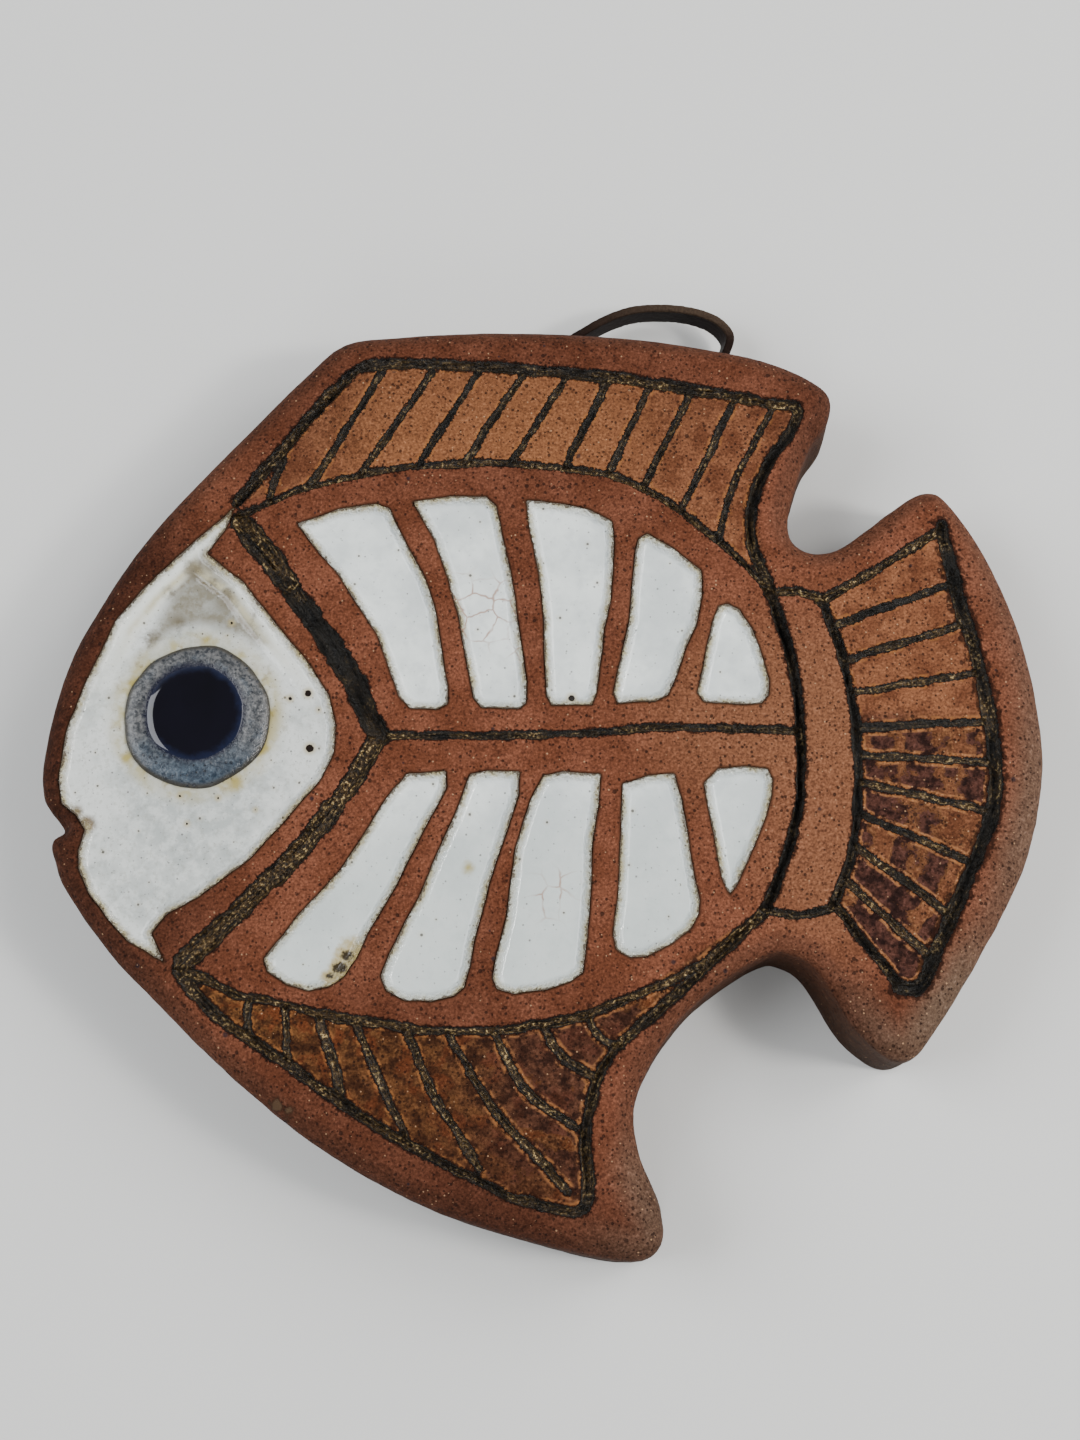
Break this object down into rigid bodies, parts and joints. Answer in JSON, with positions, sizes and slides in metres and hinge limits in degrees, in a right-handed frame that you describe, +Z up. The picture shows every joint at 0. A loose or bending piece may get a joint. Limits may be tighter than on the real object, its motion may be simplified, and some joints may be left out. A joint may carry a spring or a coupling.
{
  "type": "trivet",
  "caption": "Fish-shaped stoneware trivet with carved fins and tail, glazed wells between clay ribs, a raised glazed eye and a leather hanging loop.",
  "frame": {"origin": "middle of the slab's underside, halfway along its length and halfway across its width", "axes": "+X from the snout to the tail, +Y towards the back fin, +Z up out of the carved face"},
  "size_m": [0.191, 0.1906, 0.0224],
  "materials": {
    "clay": "unglazed iron-rich stoneware, matt and slightly sandy, with black and olive oxide in the carved lines",
    "white_glaze": "glossy white glaze with sparse iron specks, in the wells and on the head",
    "eye_glaze": "glossy blue-grey speckled glaze round a navy-black pupil",
    "leather": "dark brown leather band with a lighter suede edge"
  },
  "bodies": {
    "root": {"fish_trivet": "clay", "hanging_loop": "leather"}
  },
  "joints": []
}
